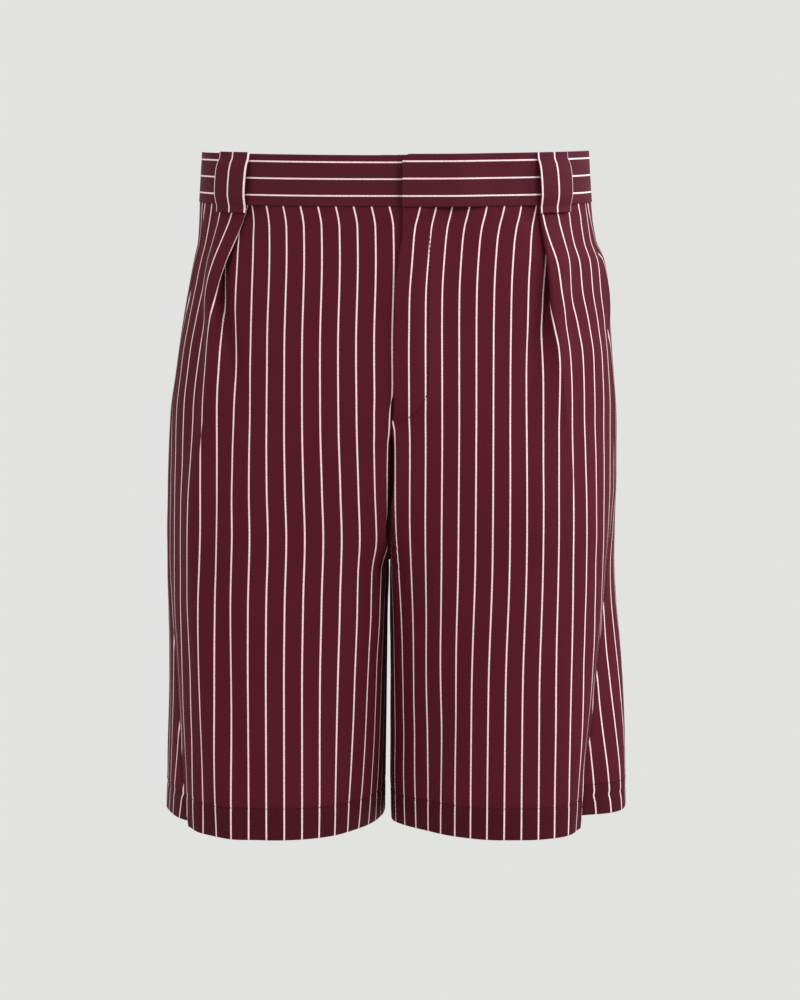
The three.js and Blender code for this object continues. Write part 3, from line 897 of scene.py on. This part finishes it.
@dataclass
class Panel:
    """A front or back panel of one leg, in one sheet, with its hem turned up inside.

    eased is the share of the table's easing that its stripes take: none on a back.
    """

    side: Side
    material: bpy.types.Material
    eased: float = 0.0

    def rows(self) -> list[tuple[float, float, float]]:
        """The rows of the sheet from the top down, round the hem and up inside.

        Returns:
            For each row its height, how far inside the surface it lies and how far below its height.
        """
        stitched = HEM_HEIGHT + HEM_DEPTH
        foot = HEM_HEIGHT + HEM_ROLL
        stops = (BAND_BOTTOM + 0.6, -24, -60, -112, -200, -296, -318, stitched + 6, stitched - 6, foot)
        counts = (4, 15, 16, 20, 22, 12, 28, 10, 6)
        spans = zip(stops[:-1], stops[1:], counts)
        heights = np.concatenate([run(start, end, count) for start, end, count in spans])
        rows = [(float(height), 0.0, 0.0) for height in heights]
        for turn in (math.pi * i / 8 for i in range(9)):
            rows.append((foot, HEM_ROLL * (1 - math.cos(turn)), HEM_ROLL * math.sin(turn)))
        for i in range(1, 6):
            rows.append((foot + (HEM_DEPTH - HEM_ROLL) * i / 5, 2 * HEM_ROLL, 0.0))
        return rows

    def row(self, height: float) -> tuple[Outline, np.ndarray, np.ndarray, float]:
        """One row of places: overridden by each kind of panel."""
        raise NotImplementedError

    def grid(self) -> tuple[np.ndarray, np.ndarray]:
        """Works out every point of the sheet and its measure.

        Returns:
            The points in mm and the measure in metres, by row and column.
        """
        points, measures = [], []
        down = 0.0
        before = None
        for height, inside, below in self.rows():
            outline, along, off, grain = self.row(height)
            flat = outline.points(along, off)
            steps = np.linalg.norm(np.diff(flat, axis=0), axis=1)
            steps = np.where(along[:-1] < CROTCH_FOLD, np.abs(np.diff(along)), steps)
            lengths = np.concatenate([[0.0], np.cumsum(steps)])
            plain = np.maximum.accumulate(along)
            scale = self.side.grain.at("scale", height)
            from_centre = np.interp(along, outline.lengths, outline.x - outline.x[0])
            left = self.side.sign > 0
            reach = EASE_REACH_LEFT if left else EASE_REACH_RIGHT
            held = CENTRE_EASE.at("held", height) if left else 0.0
            ease = CENTRE_EASE.at(self.side.name, height) * np.exp(-from_centre / reach)
            ease *= 1 - held * np.exp(-from_centre / EDGE_HOLD)
            from_grain = (lengths - np.interp(grain, plain, lengths)) * scale
            across = from_grain - ease * self.eased + GRAIN_STRIPE * STRIPE_PITCH
            here = outline.points(along, off - inside)
            here[:, 2] -= below
            place = np.array([height, inside, below])
            down += 0.0 if before is None else float(np.linalg.norm(place - before))
            before = place
            points.append(here)
            measures.append(np.stack([across * MM, np.full_like(across, -down * MM)], axis=-1))
        return np.array(points), np.array(measures)

    def build(self, name: str, flat: tuple[float, float], area: float) -> None:
        """Makes the panel and dresses it.

        Args:
            name: front or back.
            flat: the width and length of the cloth it was cut from, in metres; not used.
            area: the area of the cut, in square metres; not used.
        """
        points, measures = self.grid()
        piece = grid_sheet(f"{name}_{self.side.name}_cloth", points, measures, self.side.sign < 0)
        thicken(piece, CLOTH_WALL)
        finish_piece(piece, Slot.CLOTH, self.material, f"{name}_{self.side.name}")


@dataclass
class FrontPanel(Panel):
    """A front: a plain run, the pleat with its hidden fold and folded edge, and the side.

    turn_columns are the columns round the hidden turn, over the underlay and round the folded edge.
    set_back is how far the left front's edge keeps back from the band's, and groove_width how wide
    the crotch fold is.
    """

    eased: float = 1.0
    turn_columns: tuple[int, int, int] = (12, 10, 20)
    set_back: float = 1.5
    groove_width: float = 2.1

    def pleat(self, height: float, edge: float) -> tuple[np.ndarray, np.ndarray, float, float]:
        """The pleat across its fold, from the hidden turn to the folded edge.

        Args:
            height: the height of the row.
            edge: the distance along the outline to the folded edge.

        Returns:
            The places along, the heights off, and where the hidden turn and the folded edge lie.
        """
        names = ("overlap", "rise", "hollow", "roll", "depth")
        overlap, rise, hollow, roll, depth = (self.side.pleat.at(name, height) for name in names)
        rise += depth
        turn_at = edge + overlap - hollow
        roll_at = edge + roll
        across_x = roll_at - turn_at
        across_y = rise - roll - hollow
        reach = math.hypot(across_x, across_y)
        angle = math.atan2(across_y, across_x) + math.asin(min(1.0, (hollow + roll) / reach))
        turn_end = (turn_at + hollow * math.sin(angle), hollow - hollow * math.cos(angle))
        roll_start = (roll_at - roll * math.sin(angle), rise - roll + roll * math.cos(angle))
        underlay = math.dist(turn_end, roll_start)
        stops = np.cumsum([0.0, hollow * angle, underlay, roll * angle])
        columns = np.cumsum([0, *self.turn_columns])
        k = np.arange(columns[-1])
        evenness = smooth(-overlap, 3, 12)
        gone = (1 - evenness) * np.interp(k, columns, stops) + evenness * stops[-1] * k / columns[-1]
        turned = np.clip(gone / stops[1], 0, 1) * angle
        share = np.clip((gone - stops[1]) / max(underlay, 1e-9), 0, 1)
        unturned = (1 - np.clip((gone - stops[2]) / (stops[3] - stops[2]), 0, 1)) * angle
        in_turn = gone < stops[1]
        in_roll = gone >= stops[2]
        under_along, under_off = (turn_end[i] + (roll_start[i] - turn_end[i]) * share for i in (0, 1))
        roll_along = roll_at - roll * np.sin(unturned)
        roll_off = rise - roll + roll * np.cos(unturned)
        turn_along = turn_at + hollow * np.sin(turned)
        turn_off = hollow - hollow * np.cos(turned)
        along = np.where(in_turn, turn_along, np.where(in_roll, roll_along, under_along))
        off = np.where(in_turn, turn_off, np.where(in_roll, roll_off, under_off))
        return along, off - depth, turn_at, roll_at

    def row(self, height: float) -> tuple[Outline, np.ndarray, np.ndarray, float]:
        """One row of the front.

        Args:
            height: the height of the row.

        Returns:
            The outline, the places along it, their heights off it, and the grain line's place.
        """
        side = self.side
        underlap = CENTRE_LINE.at("underlap", height) if side.sign < 0 else 0.0
        outline = outline_at(side, height, underlap)
        edge = outline.across(side.pleat.at("edge", height))
        folded, raised, turn_at, roll_at = self.pleat(height, edge)
        lead = turn_at - PLEAT_SINK - 2
        thigh = outline.across(THIGH_START)
        near_side = roll_at + 14
        seam = outline.seam - SHEET_INSET
        lap = CENTRE_LINE.at("lap", height)
        lapped = side.sign > 0
        start = SHEET_INSET + (self.set_back * lap * (1 - smooth(height, -90, -50)) if lapped else 0.0)
        before = [run(start, thigh, 20, head=1.8), run(thigh, lead, 32), run(lead, turn_at, 14)]
        after = [run(roll_at, near_side, 14), run(near_side, seam, 30, tail=1.7), np.array([seam])]
        along = np.concatenate([*before, folded, *after])
        settle = max(side.pleat.at("overlap", height), 0) + 3
        beyond = np.concatenate(after)
        settled = side.pleat.at("rise", height) * (1 - smooth(beyond - edge, settle, settle + PLEAT_SETTLE))
        plain = np.concatenate(before)
        sunk = -side.pleat.at("depth", height) * smooth(plain, turn_at - PLEAT_SINK, turn_at)
        rest = np.concatenate([sunk, raised, settled])
        dip = SEAM_DIP * (dip_at(along - outline.seam) + (1 - lap) * dip_at(along))
        groove = CENTRE_EASE.at("groove", height) * np.exp(-((along / self.groove_width) ** 2))
        relief = relief_at(side, outline, along)
        off = rest + relief - press_at(height, along - edge) + lap_at(side, height, along) - dip - groove
        sidewards = np.interp(along, outline.lengths, np.clip(outline.out_x, -0.3, 0.3))
        along = along + groove * sidewards
        grain = outline.across(abs(side.grain.at("across", height) - side.sign * outline.centre))
        return outline, along, off, grain


@dataclass
class BackPanel(Panel):
    """A back, from the side seam round to the centre back seam and the inseam.

    grain_across is where its grain line lies over the seat. Below grain_from the line keeps its
    distance from the side instead.
    """

    grain_across: float = 77.5
    grain_from: float = -300.0

    def row(self, height: float) -> tuple[Outline, np.ndarray, np.ndarray, float]:
        """One row of the back.

        Args:
            height: the height of the row.

        Returns:
            The outline, the places along it, their heights off it, and the grain line's place.
        """
        height += self.side.back_lift * float(1 - smooth(height, HEM_HEIGHT, HEM_TILT_START))
        outline = outline_at(self.side, height)
        turn = outline.behind(THIGH_START)
        seam = outline.seam + SHEET_INSET
        end = outline.total - SHEET_INSET
        near_seam = run(seam, seam + 30, 14, head=1.7)
        along = np.concatenate([near_seam, run(seam + 30, turn, 62), run(turn, end, 22, tail=1.8), [end]])
        dip = SEAM_DIP * (dip_at(along - outline.seam) + dip_at(outline.total - along))
        off = relief_at(self.side, outline, along) - dip
        thigh = outline_at(self.side, self.grain_from)
        from_thread = thigh.behind(self.grain_across) - thigh.across(self.side.side_thread)
        straight = outline.across(self.side.side_thread) + from_thread
        seat = smooth(height, self.grain_from - 60, self.grain_from + 100)
        return outline, along, off, straight + (outline.behind(self.grain_across) - straight) * seat


@dataclass
class Waistband:
    """One half of the band: a stiffened double strip, its stripes lying along it.

    length is the cut strip's, in metres, and is not used. corner is the radius of the lapped end's upper
    corner, stand how far that end stands above the other, and droop how far the front sinks. middle_stripe is
    the middle stripe's distance below the band's top, and pitch the distance between its stripes.
    """

    side: Side
    material: bpy.types.Material
    length: float
    corner: float = 6.0
    stand: float = 1.2
    droop: float = 0.5
    wave: float = 0.35
    middle_stripe: float = 18.4
    pitch: float = 12.85

    def build(self) -> None:
        """Makes the half band, with the left one lapped over the right at the front."""
        lapped = self.side.sign > 0
        underlap = 0.0 if lapped else BAND_UNDERLAP
        levels = np.linspace(0, 1, 15)
        points, measures = [], []
        for level in levels:
            height = BAND_TOP + (BAND_BOTTOM - BAND_TOP) * float(level)
            outline = outline_at(self.side, height, underlap)
            along = np.concatenate([run(0, 40, 26, head=1.8), run(40, outline.total, 110), [outline.total]])
            lift = BAND_LAP * (1 - smooth(along, 38, 72)) if lapped else np.zeros_like(along)
            short = np.clip(self.corner - along, 0, self.corner) if lapped else np.zeros_like(along)
            rounded = self.corner - np.sqrt(np.maximum(self.corner**2 - short**2, 0))
            stand = (self.stand if lapped else 0.0) - self.droop * (1 - smooth(along - underlap, 10, 130))
            wave = self.wave * ripple(self.side, along, 0.0, 70, 5.0)
            here = outline.points(along, BAND_OUTER + lift + wave)
            here[:, 2] += (stand - rounded) * (1 - level)
            points.append(here)
            down = -(BAND_HEIGHT * level + rounded * (1 - level))
            across = (down + self.middle_stripe) * STRIPE_PITCH / self.pitch
            measures.append(np.stack([along * MM, across * MM], axis=-1))
        name = f"waistband_{self.side.name}"
        piece = grid_sheet(f"{name}_cloth", np.array(points), np.array(measures), self.side.sign < 0)
        thicken(piece, BAND_WALL, bevel=0.7)
        finish_piece(piece, Slot.BAND, self.material, name)


# A belt loop's height off the band: tacked at the band's top and just under it, bowed between
LOOP_PROFILE = Table(
    ("height", "off"),
    [
        (20.8, 1.3), (16.5, 1.35), (12, 3.4), (5, 4.7), (-4, 4.9), (-11.5, 4.4), (-18, 2.6), (-21.5, 1.35),
        (-25.5, 1.35),
    ],
)


@dataclass
class BeltLoop:
    """A doubled strip with its ends tacked to the band, its stripes running along it.

    across places it on the front, share from the side seam to the centre back, and with neither it
    sits at the centre back. lean is how far its foot has moved to the side.
    """

    name: str
    side: Side
    material: bpy.types.Material
    across: float = 0.0
    share: float = 0.0
    lean: float = 0.0
    first_stripe: float = 0.0
    crown: float = 0.35

    def build(self) -> None:
        """Makes the loop over the band."""
        width = np.linspace(-LOOP_WIDTH / 2, LOOP_WIDTH / 2, 15)
        top, foot = LOOP_PROFILE.heights[0], LOOP_PROFILE.heights[-1]
        heights = np.linspace(top, foot, 44)
        points, measures = [], []
        down = 0.0
        before = None
        for height in heights:
            outline = outline_at(self.side, float(height))
            off = LOOP_PROFILE.at("off", float(height)) + LOOP_WALL
            if self.across:
                middle = outline.across(self.across) + self.lean * (BAND_TOP - height) / BAND_HEIGHT
            elif self.share:
                middle = outline.seam + (outline.total - outline.seam) * self.share
            else:
                middle = outline.total
            crown = self.crown * np.cos(width / LOOP_WIDTH * np.pi)
            if self.across or self.share:
                here = outline.points(middle + width * self.side.sign, off + crown)
            else:
                y = outline.y[-1] + off + crown
                here = np.stack([-width, y, tilted(float(height), y)], axis=-1)
            place = here[len(width) // 2]
            down += 0.0 if before is None else float(np.linalg.norm(place - before))
            before = place
            points.append(here)
            across = (width - self.first_stripe) * MM
            measures.append(np.stack([across, np.full_like(width, -down * MM)], axis=-1))
        piece = grid_sheet(f"{self.name}_cloth", np.array(points), np.array(measures), False)
        thicken(piece, LOOP_WALL, bevel=0.6)
        finish_piece(piece, Slot.LOOP, self.material, self.name)


@dataclass
class FlyShield:
    """The strip behind the fly, as long as the opening and narrower at its foot."""

    material: bpy.types.Material
    behind_right: float = 10.0
    inside: float = 1.7
    wall: float = 1.1

    def build(self) -> None:
        """Makes the shield."""
        widths = Table(
            ("height", "width"), [(PANEL_TOP, 34), (-100, 34), (-145, 33), (-182, 28), (-197, 20), (-204, 12)]
        )
        points, measures = [], []
        for height in np.linspace(PANEL_TOP, widths.heights[-1], 32):
            outline = outline_at(LEFT, float(height))
            along = np.linspace(-self.behind_right, widths.at("width", float(height)), 16)
            points.append(outline.points(along, -self.inside))
            measures.append(np.stack([along * MM, np.full_like(along, height * MM)], axis=-1))
        piece = grid_sheet("fly_shield_cloth", np.array(points), np.array(measures), False)
        thicken(piece, self.wall, bevel=0.35)
        finish_piece(piece, Slot.BAND, self.material, "fly_shield")


@dataclass
class SeamAllowance:
    """The allowance of the centre seam, pressed open inside it, in front or behind.

    top and foot are its heights, inside how far it lies inside the seam, and length its own, which is not
    used.
    """

    name: str
    material: bpy.types.Material
    top: float
    foot: float
    inside: float
    length: float
    behind: bool = False
    width: float = 14.0
    wall: float = 1.2

    def build(self) -> None:
        """Makes the allowance."""
        points, measures = [], []
        for height in np.linspace(self.top, self.foot, 40):
            outline = outline_at(LEFT, float(height))
            across = np.linspace(-self.width / 2, self.width / 2, 9)
            end = -1 if self.behind else 0
            depth = np.full_like(across, outline.y[end] + (-self.inside if self.behind else self.inside))
            x = outline.centre + outline.x[end] + across
            points.append(np.stack([x, depth, tilted(float(height), depth)], axis=-1))
            measures.append(np.stack([across * MM, np.full_like(across, height * MM)], axis=-1))
        piece = grid_sheet(self.name, np.array(points), np.array(measures), self.behind)
        thicken(piece, self.wall, bevel=0.35)
        finish_piece(piece, Slot.CLOTH, self.material)


@dataclass
class PocketBag:
    """A pocket bag: two layers pressed flat, hanging from the band and side seam inside the front."""

    side: Side
    material: bpy.types.Material
    inside: float = 2.4
    from_seam: float = 2.0
    wall: float = 1.4

    def build(self) -> None:
        """Makes the bag."""
        widths = Table(
            ("height", "width"),
            [
                (PANEL_TOP, 100), (-46, 106), (-80, 112), (-145, 122), (-180, 124), (-215, 116), (-240, 98),
                (-256, 66),
            ],
        )
        points, measures = [], []
        for height in np.concatenate([run(PANEL_TOP, -60, 12), np.linspace(-60, widths.heights[-1], 30)]):
            outline = outline_at(self.side, float(height))
            edge = outline.across(self.side.pleat.at("edge", float(height)))
            along = outline.seam - self.from_seam - np.linspace(widths.at("width", float(height)), 0, 36)
            relief = relief_at(self.side, outline, along) - press_at(float(height), along - edge)
            beside = smooth(along, edge - 50, edge - 20) * (1 - smooth(along, edge + 8, edge + 40))
            sunk = 1.15 * self.side.pleat.at("depth", float(height)) * beside
            points.append(outline.points(along, -self.inside - sunk + relief))
            measures.append(np.stack([along * MM, np.full_like(along, height * MM)], axis=-1))
        name = f"pocket_bag_{self.side.name}"
        piece = grid_sheet(f"{name}_cloth", np.array(points), np.array(measures), self.side.sign < 0)
        thicken(piece, self.wall, bevel=0.4)
        finish_piece(piece, Slot.POCKET, self.material, name)


@dataclass
class Stitching:
    """Rows of single machine stitches in thread darker than the cloth, the darkness being painted shade of
    the stitch line pressed into the cloth.

    length is a stitch's, thread its thickness and hole the distance between two stitches.
    """

    material: bpy.types.Material
    length: float = 2.6
    thread: float = 0.42
    hole: float = 0.5

    def build(self, name: str, lines: list[np.ndarray]) -> None:
        """Models one stitch and copies it along each line, all as one piece.

        Args:
            name: the piece's name.
            lines: for each line, its points in mm on the face of the cloth.
        """
        bpy.ops.object.select_all(action="DESELECT")
        bpy.ops.mesh.primitive_uv_sphere_add(segments=6, ring_count=4, radius=1)
        piece = bpy.context.object
        piece.name = name
        shape = np.array([tuple(v.co) for v in piece.data.vertices])
        faces = [tuple(p.vertices) for p in piece.data.polygons]
        vertices, all_faces = [], []
        for line in lines:
            steps = np.linalg.norm(np.diff(line, axis=0), axis=1)
            lengths = np.concatenate([[0.0], np.cumsum(steps)])
            pitch = self.length + self.hole
            for i in range(int(lengths[-1] / pitch)):
                ends = [(i + 0.08) * pitch, (i + 0.92) * pitch]
                head, tail = (np.array([np.interp(e, lengths, line[:, k]) for k in range(3)]) for e in ends)
                middle = (head + tail) / 2
                axis = (tail - head) / 2
                reach = np.linalg.norm(axis)
                direction = axis / reach
                side = np.cross(direction, [0.3, 0.5, 0.81])
                side /= np.linalg.norm(side)
                up = np.cross(direction, side)
                stitch = (
                    middle
                    + shape[:, 2:3] * axis
                    + shape[:, 0:1] * side * self.thread / 2
                    + shape[:, 1:2] * up * self.thread / 2
                )
                start = len(vertices)
                vertices.extend((stitch * MM).tolist())
                all_faces.extend(tuple(start + k for k in face) for face in faces)
        mesh = bpy.data.meshes.new(name)
        mesh.from_pydata(vertices, [], all_faces)
        layer = mesh.uv_layers.new(name="cloth measure")
        places = np.array(vertices)[[loop.vertex_index for loop in mesh.loops]]
        layer.data.foreach_set("uv", places[:, [0, 2]].ravel())
        piece.data = mesh
        for polygon in mesh.polygons:
            polygon.use_smooth = True
        finish_piece(piece, Slot.CLOTH, self.material)

    def hem_line(self, panel: Panel) -> np.ndarray:
        """The line of stitches round a panel's hem.

        Args:
            panel: the front or back panel.

        Returns:
            Its points in mm.
        """
        height = HEM_HEIGHT + HEM_DEPTH
        outline, along, off, _ = panel.row(height)
        return outline.points(along, off + self.thread * 0.15)[2:-2]

    def fly_line(self, front: FrontPanel) -> np.ndarray:
        """The curved line of stitches beside the fly.

        Args:
            front: the left front.

        Returns:
            Its points in mm.
        """
        path = Table(
            ("height", "across"),
            [
                (-22, 26), (-105, 25), (-155, 24.8), (-174, 23.6), (-185, 19), (-192, 13), (-196, 6),
                (-198, -2),
            ],
        )
        points = []
        for height in np.linspace(path.heights[0], path.heights[-1], 120):
            outline, along, off, _ = front.row(float(height))
            place = outline.across(path.at("across", float(height)) - outline.centre)
            lift = np.interp(place, along[:50], off[:50])
            points.append(outline.points(np.array([place]), lift + self.thread * 0.15)[0])
        return np.array(points)


@dataclass
class Studio:
    """The pale floor, soft lights and the camera at the photograph's place, in metres."""

    camera_place: tuple[float, float, float] = (0.00318, -2.2, -0.257)
    lens: float = 99.62
    sensor: float = 36.0
    backdrop: str = "#e2e2e0"
    floor_radius: float = 3.0
    floor_depth: float = 0.02
    floor_middle: float = -1.91

    def build(self) -> None:
        """Sets up the camera, the lights, the world and the floor."""
        camera = bpy.data.objects.new("camera", bpy.data.cameras.new("camera"))
        bpy.context.collection.objects.link(camera)
        camera.location = self.camera_place
        camera.rotation_euler = (math.pi / 2, 0, 0)
        camera.data.sensor_fit = "VERTICAL"
        camera.data.sensor_height = self.sensor
        camera.data.lens = self.lens
        bpy.context.scene.camera = camera
        world = bpy.data.worlds.new("pale studio")
        bpy.context.scene.world = world
        world.use_nodes = True
        world.node_tree.nodes["Background"].inputs["Color"].default_value = linear(self.backdrop)
        world.node_tree.nodes["Background"].inputs["Strength"].default_value = 1.0
        self.light("key", (1.9, -1.7, 1.2), (0, 0, -0.2), 0.9, 38)
        self.light("fill", (-1.9, -1.6, 0.8), (0, 0, -0.2), 0.9, 14)
        self.light("side", (1.7, -0.1, 0.75), (0.16, 0, -0.15), 0.7, 20)
        bpy.ops.object.select_all(action="DESELECT")
        place = (0, 0, self.floor_middle)
        bpy.ops.mesh.primitive_cylinder_add(
            vertices=96, radius=self.floor_radius, depth=self.floor_depth, location=place
        )
        floor = bpy.context.object
        floor.name = "studio_floor"
        bpy.ops.object.transform_apply(location=True, rotation=True, scale=True)
        apply_modifier(floor, "BEVEL", width=0.006, segments=2, limit_method="ANGLE")
        # Matt emulsion on a smooth board: pale, with hardly any gloss and faint cloudy shades
        material = bpy.data.materials.new("matt pale studio paint")
        material.use_nodes = True
        shader = material.node_tree.nodes["Principled BSDF"]
        shader.inputs["Roughness"].default_value = 0.9
        grain = add_node(material.node_tree, "ShaderNodeTexCoord")
        speck = add_node(
            material.node_tree, "ShaderNodeTexNoise", {}, {"Vector": grain.outputs["Object"], "Scale": 3.0}
        )
        tone = add_node(
            material.node_tree,
            "ShaderNodeMix",
            {"data_type": "RGBA"},
            {"Factor": speck.outputs["Fac"], 6: linear("#dededc"), 7: linear("#e4e4e2")},
        )
        material.node_tree.links.new(tone.outputs[2], shader.inputs["Base Color"])
        floor.data.materials.append(material)
        bpy.context.scene.view_settings.view_transform = "Standard"
        bpy.context.scene.view_settings.look = "None"

    def light(
        self,
        name: str,
        place: tuple[float, float, float],
        aim: tuple[float, float, float],
        size: float,
        power: float,
    ) -> None:
        """Adds a soft square light.

        Args:
            name: its name.
            place: where it stands, in metres.
            aim: what it faces.
            size: its width, in metres.
            power: its power, in watts.
        """
        data = bpy.data.lights.new(name, "AREA")
        data.energy = power
        data.size = size
        lamp = bpy.data.objects.new(name, data)
        bpy.context.collection.objects.link(lamp)
        lamp.location = place
        lamp.rotation_euler = (Vector(aim) - Vector(place)).to_track_quat("-Z", "Y").to_euler()


class Shorts:
    """The whole garment, built piece by piece round the frame."""

    def build(self) -> None:
        """Makes every piece and reports it."""
        suiting = SUITING.material()
        band_suiting = BAND_SUITING.material()
        loop_suiting = LOOP_SUITING.material()
        pocketing = POCKETING.material()
        thread = THREAD.material()
        for side, length in zip(SIDES, (0.452, 0.416)):
            Waistband(side, band_suiting, length).build()
        fronts = [FrontPanel(side, suiting) for side in SIDES]
        backs = [BackPanel(side, suiting) for side in SIDES]
        for front in fronts:
            front.build("front", (0.300, 0.508), 0.122)
        for back, width, area in zip(backs, (0.355, 0.397), (0.156, 0.162)):
            back.build("back", (width, 0.508), area)
        BeltLoop("belt_loop_front_right", RIGHT, loop_suiting, across=122.8, lean=3).build()
        BeltLoop("belt_loop_front_left", LEFT, loop_suiting, across=119, lean=2.5, first_stripe=0.3).build()
        for side in SIDES:
            BeltLoop(f"belt_loop_side_back_{side.name}", side, loop_suiting, share=0.42).build()
        BeltLoop("belt_loop_centre_back", LEFT, loop_suiting).build()
        facing = FACING.material()
        FlyShield(facing).build()
        SeamAllowance("crotch_allowance_cloth", facing, -206, -304, 16, 145).build()
        SeamAllowance("centre_back_allowance_cloth", facing, -22, -300, 2.6, 330, behind=True).build()
        for side in SIDES:
            PocketBag(side, pocketing).build()
        sewing = Stitching(thread)
        sewing.build("hem_stitching", [sewing.hem_line(panel) for panel in (*fronts, *backs)])
        topstitching = Stitching(thread, length=3.0, thread=0.6)
        topstitching.build("fly_stitching", [topstitching.fly_line(fronts[1])])


def main() -> None:
    """Builds the shorts and the studio."""
    Shorts().build()
    Studio().build()


if __name__ == "__main__":
    main()
